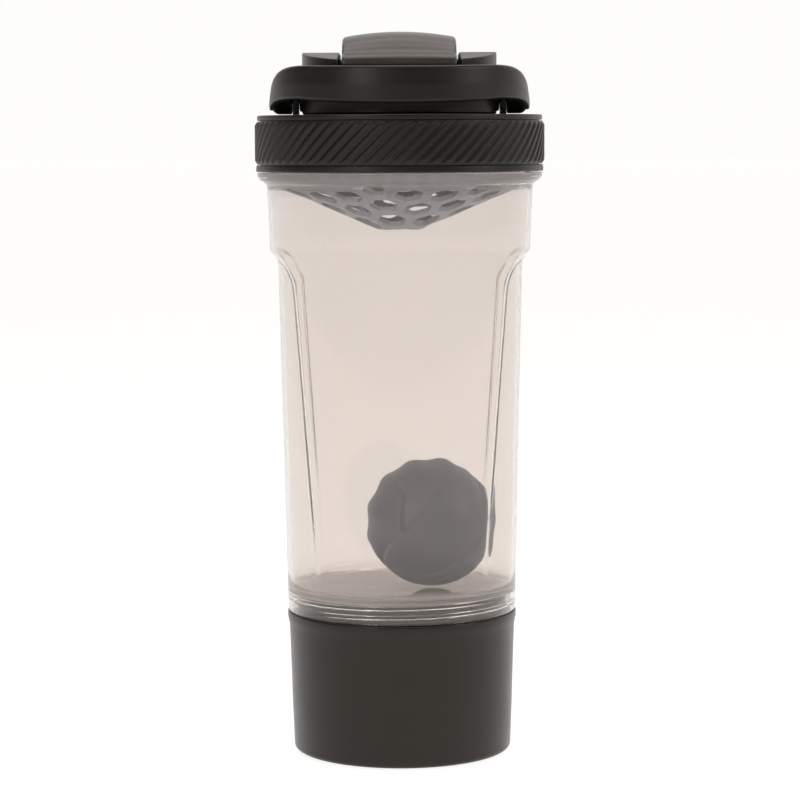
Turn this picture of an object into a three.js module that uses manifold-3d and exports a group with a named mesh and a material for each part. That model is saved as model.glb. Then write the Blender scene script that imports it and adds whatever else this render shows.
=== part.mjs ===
// Protein shaker bottle: powder cup, clear bottle, strainer, screw lid, flap, carry handle and ball.
// Millimetres, +Z up, the front is -Y. The origin is the middle of the cup's underside.
import * as THREE from 'three';
import { mergeVertices } from 'three/addons/utils/BufferGeometryUtils.js';
import Module from 'manifold-3d';

const wasm = await Module();
wasm.setup();

// Driving sizes ------------------------------------------------------------------------------
const GAP = 0.3; // between pieces that touch
const SIDES = 32; // facets round a turned piece
const SCREW_STEPS = 24; // facets round one turn of a screw ridge
const TURN = 2 * Math.PI;

const CUP = { base: 36.4, top: 37.8, rim: 38.4, height: 47.3, wall: 2.1, floor: 2.8, foot: 27 };
const CUP_NECK = { radius: 34.7, bore: 31.0, rebate: 33.1, top: 53.7, rebateFloor: 52.4 };
const CUP_THREAD = { pitch: 3.0, base: 1.4, crest: 0.6, turns: 1.4 };

const BOTTLE = { wall: 1.6, floor: 55.5, floorThickness: 1.3, skirt: 36.6 };
const WALL = { low: 38.2, lowHeight: 47.65, high: 43.4, highHeight: 166 }; // front and rear walls
const SHOULDER = { radius: 44.1, height: 188.8 };
const BEAD = { radius: 47.4, low: 190.2, top: 193.75 };
const GRIP = { slope: 0.0213, top: 168, corner: 8, half: 36.2, flare: 0.105, ramp: 4.5 };
const NECK = { radius: 42.8, bore: 41.2, top: 207.7 };
const LID_THREAD = { pitch: 4.5, base: 1.7, crest: 0.9, turns: 1.5 };

const STRAINER = { flange: 43.0, wall: 40.8, cone: 38, coneTop: 188.6, tip: 7.3, tipZ: 174.9 };
const HOLE_ROWS = [
  { radius: 14.1, count: 8, turn: -98 },
  { radius: 22.5, count: 12, turn: -75.5 },
  { radius: 32.4, count: 18, turn: -85.8 },
]; // turn is the first hole's angle in degrees
const HOLE_RADIUS = 4.1;

const COLLAR = { bottom: 194.06, bore: 44.6, flange: 47.6, top: 47.25, deck: 212.6, groove: 46.3 };
const DECK_THICKNESS = 1.8;
const DECK_HOLE = 27.5;
const BAND = { low: 196.5, high: 210.6, inner: 46.6, crest: 48.1, valley: 47.4, ribs: 72 };
const BAND_TWIST = THREE.MathUtils.degToRad(1.24); // per millimetre of height

const TURRET = { radius: 32.2, top: 233.3, frontTop: 229.6, wall: 2.4, channelFloor: 226.2 };
const CHANNEL_HALF = 19.8;
const PLATE = 2.4;
const HINGE = { y: 17, z: 230, pin: 1.5, bore: 1.8, half: 23.5 };
const SPOUT = { y: -10, outer: 7.2, inner: 5.6, top: 233.9, bottom: 216 };
const FLAP = { half: 18.5, crown: 239.8, crownRadius: 96, cheek: 2, knuckle: 3 };

const PIVOT = { z: 218.9, pin: 2.4, bore: 2.8, eye: 5.3, inner: 35.6, outer: 43.0 };
const EAR = { inner: 33.3, outer: 35.3, radius: 5 };
const HANDLE = { outer: 43.2, inner: 39.6, low: 216.0, high: 227.8 };
// The handle's outline from the front is a box with superellipse corners.
const ARCH = { x: 30, z: 216, across: 13.05, up: 12.3, power: 3.1 };

const BALL = { x: 9.7, y: -8, radius: 21.75, wall: 1.9, blades: 6 };
BALL.z = BOTTLE.floor + GAP + BALL.radius;

// Materials ----------------------------------------------------------------------------------
const plastic = (color, roughness) =>
  new THREE.MeshStandardMaterial({ color, roughness, metalness: 0 });
const clear = (color, opacity) =>
  new THREE.MeshStandardMaterial({ color, roughness: 0.15, transparent: true, opacity });
const BLACK = 0x2a2725;

// Shape helpers ------------------------------------------------------------------------------
const clamp = THREE.MathUtils.clamp;
const mix = THREE.MathUtils.lerp;

// Points of a circular arc in a profile, angles in degrees.
function arc(x, z, radius, from, to, steps = 4) {
  return Array.from({ length: steps + 1 }, (_, i) => {
    const angle = THREE.MathUtils.degToRad(mix(from, to, i / steps));
    return [x + radius * Math.cos(angle), z + radius * Math.sin(angle)];
  });
}

// A profile of [radius, height] turned about the Z axis, starting at the front (-Y).
function turned(profile, sides = SIDES) {
  const points = profile.map(([radius, height]) => new THREE.Vector2(Math.max(radius, 0), height));
  return new THREE.LatheGeometry(points, sides).rotateX(Math.PI / 2);
}

const ring = (inner, outer, low, high, sides = SIDES) =>
  turned([[inner, low], [outer, low], [outer, high], [inner, high], [inner, low]], sides);

const disc = (radius, low, high, sides = SIDES) =>
  turned([[0, low], [radius, low], [radius, high], [0, high]], sides);

function block(x0, x1, y0, y1, z0, z1) {
  const geometry = new THREE.BoxGeometry(x1 - x0, y1 - y0, z1 - z0);
  return geometry.translate((x0 + x1) / 2, (y0 + y1) / 2, (z0 + z1) / 2);
}

// A rod along X between two places.
function rod(radius, x0, x1, y, z, sides = 20) {
  const geometry = new THREE.CylinderGeometry(radius, radius, x1 - x0, sides).rotateZ(Math.PI / 2);
  return geometry.translate((x0 + x1) / 2, y, z);
}

// An outline of [y, z] points, extruded along X over +-half.
function slab(outline, half) {
  const shape = new THREE.Shape(outline.map(([y, z]) => new THREE.Vector2(y, z)));
  const geometry = new THREE.ExtrudeGeometry(shape, { depth: 2 * half, bevelEnabled: false });
  return geometry.translate(0, 0, -half).rotateX(Math.PI / 2).rotateZ(Math.PI / 2);
}

// Moves every vertex by a function of its place.
function warp(geometry, move) {
  const position = geometry.attributes.position;
  const point = new THREE.Vector3();
  for (let i = 0; i < position.count; i++) {
    point.fromBufferAttribute(position, i);
    move(point);
    position.setXYZ(i, point.x, point.y, point.z);
  }
  return geometry;
}

// Merges shared vertices and turns the faces outward.
function closed(geometry) {
  const bare = geometry.clone();
  for (const name of Object.keys(bare.attributes)) {
    if (name !== 'position') bare.deleteAttribute(name);
  }
  const merged = mergeVertices(bare, 1e-4);
  const place = merged.attributes.position;
  const kept = [];
  const a = new THREE.Vector3();
  const b = new THREE.Vector3();
  const c = new THREE.Vector3();
  let volume = 0;
  for (let i = 0; i < merged.index.count; i += 3) {
    const [p, q, r] = [0, 1, 2].map((k) => merged.index.getX(i + k));
    if (p === q || q === r || r === p) continue;
    kept.push(p, q, r);
    a.fromBufferAttribute(place, p);
    b.fromBufferAttribute(place, q);
    c.fromBufferAttribute(place, r);
    volume += a.dot(b.cross(c));
  }
  if (volume < 0) kept.reverse();
  merged.setIndex(kept);
  return merged;
}

function solid(geometry) {
  const merged = closed(geometry);
  return new wasm.Manifold(
    new wasm.Mesh({
      numProp: 3,
      vertProperties: new Float32Array(merged.attributes.position.array),
      triVerts: new Uint32Array(merged.index.array),
    }),
  );
}

function surface(manifold) {
  const mesh = manifold.getMesh();
  const geometry = new THREE.BufferGeometry();
  geometry.setAttribute('position', new THREE.BufferAttribute(mesh.vertProperties, 3));
  geometry.setIndex(new THREE.BufferAttribute(mesh.triVerts, 1));
  geometry.computeVertexNormals();
  return geometry;
}

// Adds and cuts geometries from a first one.
function carve(geometry, { add = [], cut = [] }) {
  let body = solid(geometry);
  for (const extra of add) body = body.add(solid(extra));
  for (const tool of cut) body = body.subtract(solid(tool));
  return surface(body);
}

// One right-handed screw ridge. Its root is sunk into the wall, and side is 1 for a ridge that
// stands outward and -1 for one that stands inward. Both ends run out into the wall.
function screwRidge({ pitch, base, crest, turns }, root, rise, startZ, startAngle, side) {
  const SINK = 0.4;
  const RUN_OUT = 0.12;
  const section = new THREE.Shape([
    new THREE.Vector2(-SINK, -base / 2),
    new THREE.Vector2(rise, -crest / 2),
    new THREE.Vector2(rise, crest / 2),
    new THREE.Vector2(-SINK, base / 2),
  ]);
  const steps = Math.round(SCREW_STEPS * turns);
  const bar = new THREE.ExtrudeGeometry(section, { depth: 1, steps, bevelEnabled: false });
  return warp(bar, (point) => {
    const along = point.z;
    const height = clamp(Math.min(along, 1 - along) / RUN_OUT, 0.1, 1);
    const radius = root + side * (point.x > 0 ? point.x * height : point.x);
    const angle = startAngle + along * turns * TURN;
    point.set(
      radius * Math.cos(angle),
      radius * Math.sin(angle),
      startZ + point.y + along * turns * pitch,
    );
  });
}

// Powder cup ---------------------------------------------------------------------------------
const CUP_THREAD_Z = 48.1;
const CUP_THREAD_ANGLE = THREE.MathUtils.degToRad(-90 - 60);
const CUP_RIDGE = 1.4;
const SKIRT_RIDGE = 1.2;

function storageCup() {
  const { base, top, rim, height, wall, floor, foot } = CUP;
  const shell = turned([
    [0, 0.8],
    [foot - 1.2, 0.8],
    [foot, 0],
    ...arc(base - 1.7, 1.7, 1.7, -90, 0, 2),
    [37.6, 36],
    [top, 43.8],
    [rim, 44.8],
    [rim, height - 0.4],
    [CUP_NECK.radius, height],
    [CUP_NECK.radius, CUP_NECK.top - 0.4],
    [CUP_NECK.radius - 0.4, CUP_NECK.top],
    [CUP_NECK.rebate, CUP_NECK.top],
    [CUP_NECK.rebate, CUP_NECK.rebateFloor],
    [CUP_NECK.bore, CUP_NECK.rebateFloor],
    [CUP_NECK.bore, height - 1],
    [top - wall, 41],
    [base - wall, floor + 4],
    ...arc(base - wall - 3, floor + 3, 3, 0, -90, 2),
    [0, floor],
  ]);
  const ridge = screwRidge(
    CUP_THREAD, CUP_NECK.radius, CUP_RIDGE, CUP_THREAD_Z, CUP_THREAD_ANGLE, 1,
  );
  return carve(shell, { add: [ridge] });
}

function cupSeal() {
  const low = CUP_NECK.rebateFloor + GAP;
  const high = BOTTLE.floor - BOTTLE.floorThickness - GAP;
  return ring(CUP_NECK.bore + 0.2, CUP_NECK.rebate - GAP, low, high);
}

// Clear bottle -------------------------------------------------------------------------------
const LID_THREAD_Z = 197.2;
const NECK_RIDGE = 1.3;
const COLLAR_RIDGE = 1.2;

const wallRadius = (z) =>
  mix(WALL.low, WALL.high, (z - WALL.lowHeight) / (WALL.highHeight - WALL.lowHeight));

// How far the wall is pressed in by the two side grips at a place.
function gripDepth(point) {
  const { slope, top, corner, half, flare, ramp } = GRIP;
  const azimuth = THREE.MathUtils.radToDeg(Math.atan2(point.x, -point.y));
  const fromMiddle = Math.abs(Math.abs(azimuth) - 90);
  const width = half + flare * (154 - point.z);
  const arch = top - corner * Math.pow(clamp(fromMiddle / width, 0, 1), 3);
  const across = clamp((width - fromMiddle) / ramp, 0, 1);
  const down = clamp((arch - point.z) / 4, 0, 1);
  const full = wallRadius(Math.min(point.z, WALL.highHeight));
  const pressed = WALL.low + slope * (point.z - WALL.lowHeight);
  return Math.max(full - pressed, 0) * across * down;
}

function bottleBody() {
  const { wall, floor, floorThickness, skirt } = BOTTLE;
  const rows = [60, 90, 120, 146, 158, 163.5, 168.5];
  const outerWall = rows.map((z) => [z > WALL.highHeight ? 43.45 : wallRadius(z), z]);
  const innerWall = outerWall.map(([radius, z]) => [radius - wall, z]).slice(1).reverse();
  const shell = turned([
    [0, floor - floorThickness],
    [skirt, floor - floorThickness],
    [skirt, WALL.lowHeight],
    [WALL.low, WALL.lowHeight],
    ...outerWall,
    [SHOULDER.radius, SHOULDER.height],
    [BEAD.radius - 0.9, BEAD.low + 1.4],
    [BEAD.radius, BEAD.low + 2.4],
    [BEAD.radius, BEAD.top],
    [NECK.radius, BEAD.top],
    [NECK.radius, NECK.top - 0.5],
    [NECK.radius - 0.5, NECK.top],
    [NECK.bore, NECK.top],
    [NECK.bore, BEAD.low + 2],
    [SHOULDER.radius - wall, SHOULDER.height - 4],
    ...innerWall,
    ...arc(wallRadius(floor) - wall - 2.5, floor + 2.5, 2.5, 0, -90, 3),
    [0, floor],
  ]);
  const pressed = warp(shell, (point) => {
    const radius = Math.hypot(point.x, point.y);
    if (radius < BOTTLE.skirt || point.z < floor) return;
    const scale = 1 - gripDepth(point) / radius;
    point.set(point.x * scale, point.y * scale, point.z);
  });
  const neckRidge = screwRidge(LID_THREAD, NECK.radius, NECK_RIDGE, LID_THREAD_Z, 0, 1);
  const skirtRidge = screwRidge(
    { ...CUP_THREAD, turns: 1.2 },
    skirt, SKIRT_RIDGE, CUP_THREAD_Z + CUP_THREAD.pitch / 2, CUP_THREAD_ANGLE, -1,
  );
  return carve(pressed, { add: [neckRidge, skirtRidge] });
}

// Strainer and the lid's seal ----------------------------------------------------------------
function strainer() {
  const { flange, wall, cone, coneTop, tip, tipZ } = STRAINER;
  const low = NECK.top + GAP;
  const SHEET = 1.3;
  const basket = turned([
    [0, tipZ],
    [tip - 1.2, tipZ],
    [tip, tipZ + 0.3],
    [cone, coneTop],
    [wall - 0.8, coneTop + 1.8],
    [wall, coneTop + 4],
    [wall, low],
    [flange, low],
    [flange, low + SHEET],
    [wall - SHEET, low + SHEET],
    [wall - SHEET, coneTop + 4],
    [cone - 0.6, coneTop + SHEET],
    [tip - 0.3, tipZ + SHEET + 0.3],
    [0, tipZ + SHEET],
  ]);
  const holes = HOLE_ROWS.flatMap(({ radius, count, turn }) =>
    Array.from({ length: count }, (_, i) => {
      const angle = THREE.MathUtils.degToRad(turn) + (i / count) * TURN;
      const hole = new THREE.CylinderGeometry(HOLE_RADIUS, HOLE_RADIUS, 12, 6);
      const height = mix(tipZ, coneTop, (radius - tip) / (cone - tip));
      return hole
        .rotateX(Math.PI / 2)
        .translate(radius, 0, height)
        .rotateZ(angle);
    }),
  );
  return carve(basket, { cut: holes });
}

function neckSeal() {
  const low = NECK.top + 1.3 + 2 * GAP;
  return ring(38.5, STRAINER.flange, low, COLLAR.deck - DECK_THICKNESS - GAP);
}

// Lid ----------------------------------------------------------------------------------------
function lidCollar() {
  const { bottom, bore, flange, top, deck, groove } = COLLAR;
  const ceiling = deck - DECK_THICKNESS;
  const shell = turned([
    [bore, bottom],
    [flange - 0.3, bottom],
    [flange, bottom + 0.4],
    [flange, BAND.low - GAP],
    [groove, BAND.low - GAP],
    [groove, BAND.high + GAP],
    [top, BAND.high + GAP],
    [top, deck - 0.4],
    [top - 0.4, deck],
    [DECK_HOLE, deck],
    [DECK_HOLE, ceiling],
    [bore, ceiling],
    [bore, bottom],
  ]);
  const ridge = screwRidge(
    LID_THREAD, bore, COLLAR_RIDGE, LID_THREAD_Z + LID_THREAD.pitch / 2, 0, -1,
  );
  const ears = [-1, 1].flatMap((side) => {
    const [x0, x1] = [EAR.inner * side, EAR.outer * side].sort((a, b) => a - b);
    return [
      block(x0, x1, -EAR.radius, EAR.radius, deck - 0.5, PIVOT.z),
      rod(EAR.radius, x0, x1, 0, PIVOT.z),
    ];
  });
  return carve(shell, { add: [ridge, ...ears], cut: [rod(PIVOT.bore, -40, 40, 0, PIVOT.z)] });
}

// The ribs lean as they climb: every second column of the outer face stands proud.
function gripBand() {
  const columns = 2 * BAND.ribs;
  const { low, high, inner, valley, crest } = BAND;
  const rows = [low, (low + high) / 2, high];
  const sleeve = turned(
    [[inner, low], ...rows.map((z) => [valley, z]), ...rows.map((z) => [inner, z]).reverse()],
    columns,
  );
  return warp(sleeve, (point) => {
    const radius = Math.hypot(point.x, point.y);
    const angle = Math.atan2(point.x, -point.y);
    const column = Math.round((angle / TURN) * columns);
    const grown = radius > inner + 0.1 && Math.abs(column % 2) === 1 ? crest : radius;
    const turn = angle + BAND_TWIST * (point.z - low);
    point.set(grown * Math.sin(turn), -grown * Math.cos(turn), point.z);
  });
}

function spoutTurret() {
  const { radius, top, frontTop, wall, channelFloor } = TURRET;
  const low = COLLAR.deck + GAP;
  const drum = turned([
    [0, low],
    [radius, low],
    [radius, top - 0.4],
    [radius - 0.4, top],
    [0, top],
  ], 48);
  const ceiling = channelFloor - PLATE;
  const fall = (top - frontTop) / radius;
  const FAR = 60;
  const slope = slab([[0, top], [-FAR, top - fall * FAR], [-FAR, FAR + top], [0, FAR + top]], FAR);
  const channel = block(-CHANNEL_HALF, CHANNEL_HALF, -FAR, FAR, channelFloor, top + 5);
  const bosses = [-1, 1].map((side) => {
    const [x0, x1] = [(radius - 1) * side, (EAR.inner - GAP) * side].sort((a, b) => a - b);
    return rod(EAR.radius, x0, x1, 0, PIVOT.z, 24);
  });
  const cut = [
    slope,
    channel,
    ...[-1, 1].map((side) => {
      const [x0, x1] = [radius * side, (EAR.inner + 1) * side].sort((a, b) => a - b);
      return rod(PIVOT.bore, x0, x1, 0, PIVOT.z);
    }),
    disc(radius - wall, low - 1, ceiling, 48),
    rod(HINGE.bore, -HINGE.half - GAP, HINGE.half + GAP, HINGE.y, HINGE.z),
    disc(SPOUT.outer + GAP, ceiling - 1, top, 24).translate(0, SPOUT.y, 0),
  ];
  return carve(drum, { add: bosses, cut });
}

function spoutTube() {
  const { outer, inner, top, bottom, y } = SPOUT;
  const ceiling = TURRET.channelFloor - PLATE - GAP;
  const tube = turned([
    [inner, bottom],
    [outer, bottom],
    [outer, ceiling - 1.6],
    [outer + 2.8, ceiling - 1.6],
    [outer + 2.8, ceiling],
    [outer, ceiling],
    [outer, top - 0.6],
    [outer - 0.6, top],
    [inner, top],
    [inner, bottom],
  ], 20);
  return tube.translate(0, y, 0);
}

// Flap ---------------------------------------------------------------------------------------
function spoutCap() {
  const { half, crown, crownRadius, cheek, knuckle } = FLAP;
  const skin = new THREE.SplineCurve([
    new THREE.Vector2(HINGE.y + 2.4, HINGE.z + 2.6),
    new THREE.Vector2(10, 236.9),
    new THREE.Vector2(2, 239.2),
    new THREE.Vector2(-6, crown),
    new THREE.Vector2(-16, 239.3),
    new THREE.Vector2(-22.5, 237.6),
    new THREE.Vector2(-25.6, 234.6),
    new THREE.Vector2(-27.4, 232.0),
    new THREE.Vector2(-30.0, 230.6),
    new THREE.Vector2(-31.4, 229.6),
  ]);
  const outline = [
    ...arc(HINGE.y, HINGE.z, knuckle, -90, 30, 6),
    ...skin.getPoints(18).map(({ x, y }) => [x, y]),
    [-31.2, 228.5],
    [-30.6, 228.2],
    [HINGE.y - 5, 228.2],
  ];
  const hollow = [
    [10.5, 227], [10.5, 233.6], [2, 236.6], [-6, 237.2], [-16, 236.9], [-21, 235.6],
    [-23, 233.4], [-24, 231], [-24, 227],
  ];
  const crownSide = new THREE.CylinderGeometry(crownRadius, crownRadius, 200, 120)
    .translate(0, 0, crown - crownRadius);
  const body = solid(slab(outline, half))
    .intersect(solid(crownSide))
    .subtract(solid(slab(hollow, half - cheek)))
    .subtract(solid(rod(HINGE.bore, -half - 1, half + 1, HINGE.y, HINGE.z)));
  return surface(body);
}

function capPlug() {
  const rim = SPOUT.top + GAP;
  const plug = turned([
    [0, rim - 4],
    [3.9, rim - 4],
    [4.4, rim - 3.4],
    [5.0, rim],
    [SPOUT.outer + 0.2, rim],
    [SPOUT.outer + 0.2, rim + 1.4],
    [0, rim + 1.4],
  ], 20);
  return plug.translate(0, SPOUT.y, 0);
}

// Carry handle and its pins ------------------------------------------------------------------
// The bail's lower and upper edge at an azimuth from the front, in degrees.
function handleEdge(azimuth) {
  const out = Math.abs(azimuth);
  const swell = Math.min(out / 50, 1) ** 2;
  const drop = clamp((out - 58) / 32, 0, 1) ** 2;
  return {
    low: HANDLE.low + 1.5 * swell - 3.4 * drop,
    high: HANDLE.high + 0.5 * swell,
  };
}

function carryHandle() {
  const bar = new THREE.BoxGeometry(1, 1, 1, 30, 1, 1);
  const bail = warp(bar, (point) => {
    const azimuth = point.x * 180;
    const { low, high } = handleEdge(azimuth);
    const radius = mix(HANDLE.outer, HANDLE.inner, point.y + 0.5);
    const angle = THREE.MathUtils.degToRad(azimuth);
    const height = mix(low, high, point.z + 0.5);
    point.set(radius * Math.sin(angle), -radius * Math.cos(angle), height);
  });
  const eyes = [-1, 1].map((side) => {
    const [x0, x1] = [PIVOT.inner * side, PIVOT.outer * side].sort((a, b) => a - b);
    return rod(PIVOT.eye, x0, x1, 0, PIVOT.z);
  });
  const heads = [-1, 1].map((side) => {
    const [x0, x1] = [41.1 * side, 45 * side].sort((a, b) => a - b);
    return rod(4.2, x0, x1, 0, PIVOT.z);
  });
  const low = 200;
  const STEPS = 9;
  const corner = Array.from({ length: STEPS + 1 }, (_, i) => {
    const angle = (i / STEPS) * (Math.PI / 2);
    const x = ARCH.x + ARCH.across * Math.cos(angle) ** (2 / ARCH.power);
    const z = ARCH.z + ARCH.up * Math.sin(angle) ** (2 / ARCH.power);
    return new THREE.Vector2(x, z);
  });
  const mirrored = corner.map(({ x, y }) => new THREE.Vector2(-x, y)).reverse();
  const shoulder = new THREE.Shape([
    new THREE.Vector2(-HANDLE.outer, low),
    new THREE.Vector2(HANDLE.outer, low),
    ...corner,
    ...mirrored,
  ]);
  const arch = new THREE.ExtrudeGeometry(shoulder, { depth: 120, bevelEnabled: false });
  let body = solid(bail);
  for (const eye of eyes) body = body.add(solid(eye));
  body = body.intersect(solid(arch.translate(0, 0, -60).rotateX(Math.PI / 2)));
  for (const tool of [rod(PIVOT.bore, -50, 50, 0, PIVOT.z), ...heads]) {
    body = body.subtract(solid(tool));
  }
  return surface(body);
}

function handlePin(side) {
  const profile = [
    [0, 32.7], [PIVOT.pin, 32.7], [PIVOT.pin, 41.5], [3.8, 41.5], [3.8, 42.6], [3.4, 42.9], [0, 42.9],
  ];
  return turned(profile, 16).rotateY((side * Math.PI) / 2).translate(0, 0, PIVOT.z);
}

// Mixing ball --------------------------------------------------------------------------------
// A hollow half ball with slots between its leaning leaves. side is 1 for the upper half.
function ballShell(side) {
  const { radius, wall, blades } = BALL;
  const seam = GAP / 2;
  const start = THREE.MathUtils.radToDeg(Math.asin(seam / radius));
  const inner = radius - wall;
  const shell = turned([
    ...arc(0, 0, radius, start, 90, 6),
    ...arc(0, 0, inner, 90, start, 5),
    [radius * Math.cos(THREE.MathUtils.degToRad(start)), seam],
  ], 24);
  const slots = Array.from({ length: blades }, (_, i) => {
    const slot = block(radius * 0.34, radius + 2, -1.5, 1.5, 5, radius);
    return slot.rotateX(0.35).rotateZ((i / blades) * TURN);
  });
  const half = surface(slots.reduce((body, slot) => body.subtract(solid(slot)), solid(shell)));
  if (side < 0) half.rotateX(Math.PI);
  return half.rotateX(0.906).rotateY(-0.724).translate(BALL.x, BALL.y, BALL.z);
}

// Assembly -----------------------------------------------------------------------------------
const pieces = [
  ['storage_cup', storageCup(), plastic(BLACK, 0.4)],
  ['cup_seal', cupSeal(), plastic(0x5a5654, 0.7)],
  ['bottle_body', bottleBody(), clear(0xe6dccf, 0.4)],
  ['strainer', strainer(), plastic(0xa09a96, 0.5)],
  ['neck_seal', neckSeal(), plastic(0x5a5654, 0.7)],
  ['lid_collar', lidCollar(), plastic(BLACK, 0.5)],
  ['grip_band', gripBand(), plastic(0x24211f, 0.7)],
  ['spout_turret', spoutTurret(), plastic(BLACK, 0.5)],
  ['spout_tube', spoutTube(), plastic(BLACK, 0.45)],
  ['cap_hinge_pin', rod(HINGE.pin, -HINGE.half, HINGE.half, HINGE.y, HINGE.z), plastic(BLACK, 0.4)],
  ['spout_cap', spoutCap(), plastic(0x5f5755, 0.45)],
  ['cap_plug', capPlug(), plastic(0x5a5654, 0.7)],
  ['carry_handle', carryHandle(), plastic(BLACK, 0.5)],
  ['handle_pin_left', handlePin(-1), plastic(BLACK, 0.4)],
  ['handle_pin_right', handlePin(1), plastic(BLACK, 0.4)],
  ['agitator_upper', ballShell(1), plastic(0x756f76, 0.4)],
  ['agitator_lower', ballShell(-1), plastic(0x756f76, 0.4)],
];

const group = new THREE.Group();
for (const [name, geometry, material] of pieces) {
  const mesh = new THREE.Mesh(closed(geometry), material);
  mesh.geometry.computeVertexNormals();
  mesh.name = name;
  group.add(mesh);
}

export default group;
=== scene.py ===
"""Protein shaker bottle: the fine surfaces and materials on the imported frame.

Shapes are worked out in millimetres and turned into metres when a mesh is made.
"""
import math

import bpy
import numpy as np
from mathutils import Matrix, Vector


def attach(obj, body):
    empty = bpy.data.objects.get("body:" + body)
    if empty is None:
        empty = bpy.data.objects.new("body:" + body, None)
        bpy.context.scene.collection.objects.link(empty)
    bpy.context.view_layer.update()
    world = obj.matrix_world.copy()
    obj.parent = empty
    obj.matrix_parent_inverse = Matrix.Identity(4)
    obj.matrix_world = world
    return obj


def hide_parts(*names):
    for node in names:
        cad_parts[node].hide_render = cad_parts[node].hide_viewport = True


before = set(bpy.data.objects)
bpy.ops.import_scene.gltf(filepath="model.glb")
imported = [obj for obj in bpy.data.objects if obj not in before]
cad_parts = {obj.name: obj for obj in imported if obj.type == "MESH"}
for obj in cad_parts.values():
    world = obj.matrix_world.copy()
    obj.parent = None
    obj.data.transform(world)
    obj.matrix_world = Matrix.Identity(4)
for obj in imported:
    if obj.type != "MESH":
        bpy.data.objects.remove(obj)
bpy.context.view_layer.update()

MM = 0.001
TAU = 2 * math.pi

# Sizes shared by several pieces, in millimetres ----------------------------------------------
CUP_NECK_R, CUP_TOP, CUP_NECK_TOP = 34.7, 47.3, 53.7
CUP_PITCH, CUP_SCREW_Z, CUP_SCREW_ANGLE = 3.0, 48.1, -150.0
CUP_RIDGE = {"turns": 1.4, "base": 1.4, "crest": 0.6, "rise": 1.4}
SKIRT_RIDGE = {"turns": 1.35, "base": 1.8, "crest": 0.8, "rise": 1.2}
SKIRT_R, SKIRT_LOW = 36.6, 47.65
WALL = 1.6
FLOOR_TOP, FLOOR_UNDER = 55.5, 54.2
WALL_LOW_R, WALL_HIGH_R, WALL_HIGH_Z = 38.2, 43.4, 166.0
SHOULDER_R, SHOULDER_Z = 44.1, 188.8
BEAD_R, BEAD_TOP = 47.4, 193.75
NECK_R, NECK_BORE, NECK_TOP = 42.8, 41.2, 207.7
LID_PITCH, LID_SCREW_Z = 4.5, 197.2
NECK_RIDGE = {"turns": 1.5, "base": 1.7, "crest": 0.9, "rise": 1.3}
COLLAR_RIDGE = {**NECK_RIDGE, "rise": 1.2}
COLLAR_LOW, COLLAR_BORE, DECK = 194.06, 44.6, 212.6
BAND_LOW, BAND_HIGH, BAND_RIBS = 196.5, 210.6, 72
TURRET_R, TURRET_TOP, TURRET_FRONT, CHANNEL_HALF, CHANNEL_Z = 32.2, 233.3, 229.6, 19.8, 226.2
HINGE_Y, HINGE_Z = 17.0, 230.0
SPOUT_Y, SPOUT_TOP = -10.0, 233.9
PIVOT_Z, PIVOT_BORE = 218.9, 2.8
EAR_R, EAR_INNER, EAR_OUTER = 5.0, 33.3, 35.3
BAIL_OUTER, BAIL_INNER, BAIL_LOW, BAIL_HIGH = 43.2, 39.6, 216.0, 227.8
EYE_R, EYE_INNER, EYE_OUTER = 5.9, 35.6, 42.3
STRAINER_TIP, STRAINER_TIP_R = 174.9, 7.3
SAME_RADIUS = 0.02  # how near a wall's radius a point lies to belong to that wall
BALL_X, BALL_Y, BALL_R = 9.7, -8.0, 21.75
BALL_Z = FLOOR_TOP + 0.3 + BALL_R


# Outlines --------------------------------------------------------------------------------------
def rounded(points, step=20.0, closed=False):
    """A profile of (x, y) or (x, y, radius) corners, with its corners rounded by arcs that turn
    step degrees a point."""
    out = []
    count = len(points)
    for i, point in enumerate(points):
        here = np.array(point[:2], float)
        radius = point[2] if len(point) > 2 else 0.0
        if radius <= 0 or (not closed and i in (0, count - 1)):
            out.append(here)
            continue
        before = np.array(points[i - 1][:2], float) - here
        after = np.array(points[(i + 1) % count][:2], float) - here
        u, v = before / np.linalg.norm(before), after / np.linalg.norm(after)
        half = math.acos(max(-1.0, min(1.0, float(u @ v)))) / 2
        if half > math.radians(89):
            out.append(here)
            continue
        reach = min(radius / math.tan(half), 0.49 * np.linalg.norm(before), 0.49 * np.linalg.norm(after))
        radius = reach * math.tan(half)
        centre = here + (u + v) / np.linalg.norm(u + v) * radius / math.sin(half)
        start, end = here + u * reach - centre, here + v * reach - centre
        a0, a1 = math.atan2(start[1], start[0]), math.atan2(end[1], end[0])
        turn = (a1 - a0 + math.pi) % TAU - math.pi
        steps = max(2, int(abs(math.degrees(turn)) / step))
        for k in range(steps + 1):
            a = a0 + turn * k / steps
            out.append(centre + radius * np.array([math.cos(a), math.sin(a)]))
    return np.array(out)


def subdivided(profile, low, high, step):
    """The profile with stretches between two heights cut into pieces no longer than step."""
    out = [profile[0]]
    for a, b in zip(profile[:-1], profile[1:]):
        inside = low - 0.01 <= min(a[1], b[1]) and max(a[1], b[1]) <= high + 0.01
        count = max(1, math.ceil(np.linalg.norm(b - a) / step)) if inside else 1
        out += [a + (b - a) * k / count for k in range(1, count + 1)]
    return np.array(out)


def smoothstep(x):
    x = np.clip(x, 0.0, 1.0)
    return x * x * (3 - 2 * x)


# Meshes ----------------------------------------------------------------------------------------
def mesh_object(name, points, faces, sharp=32.0):
    mesh = bpy.data.meshes.new(name)
    mesh.from_pydata((np.asarray(points) * MM).tolist(), [], faces)
    mesh.update()
    mesh.shade_smooth()
    mesh.set_sharp_from_angle(angle=math.radians(sharp))
    obj = bpy.data.objects.new(name, mesh)
    bpy.context.scene.collection.objects.link(obj)
    return obj


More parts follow.
